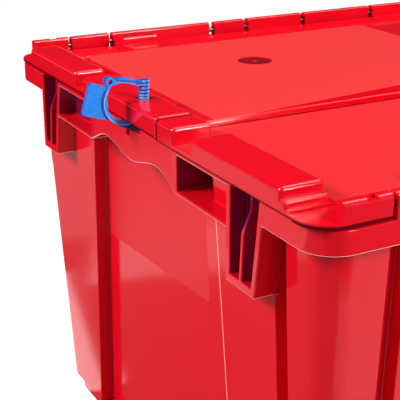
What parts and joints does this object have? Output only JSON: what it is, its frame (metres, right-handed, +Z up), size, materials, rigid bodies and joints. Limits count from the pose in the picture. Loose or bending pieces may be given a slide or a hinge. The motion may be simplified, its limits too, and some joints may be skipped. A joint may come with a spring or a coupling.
{
  "type": "storage tote",
  "caption": "Nesting plastic storage container with two interlocking hinged lids on steel rods, hand grips at both ends and a plastic padlock seal through the lid.",
  "frame": {"origin": "centre of the tote's footprint on the floor", "axes": "+X along the long side, +Y towards the far hinge, +Z up"},
  "size_m": [0.5856, 0.386, 0.2887],
  "materials": {
    "red_plastic": "glossy moulded polypropylene",
    "hinge_steel": "plain drawn wire",
    "seal_blue": "glossy moulded plastic"
  },
  "bodies": {
    "tote": {"container": "red_plastic", "far_hinge_rod": "hinge_steel", "near_hinge_rod": "hinge_steel"},
    "far_lid_body": {"far_lid": "red_plastic", "padlock_seal": "seal_blue"},
    "near_lid_body": {"near_lid": "red_plastic"}
  },
  "joints": [
    {"name": "far_lid_hinge", "type": "hinge", "parent": "tote", "child": "far_lid_body", "pos_m": [0, 0.1895, 0.267], "axis": [-1, 0, 0], "range_deg": [0, 230]},
    {"name": "near_lid_hinge", "type": "hinge", "parent": "tote", "child": "near_lid_body", "pos_m": [0, -0.1895, 0.267], "axis": [1, 0, 0], "range_deg": [0, 230]}
  ],
  "couplings": [
    {"joint": "near_lid_hinge", "follows": "far_lid_hinge", "ratio": 1}
  ]
}
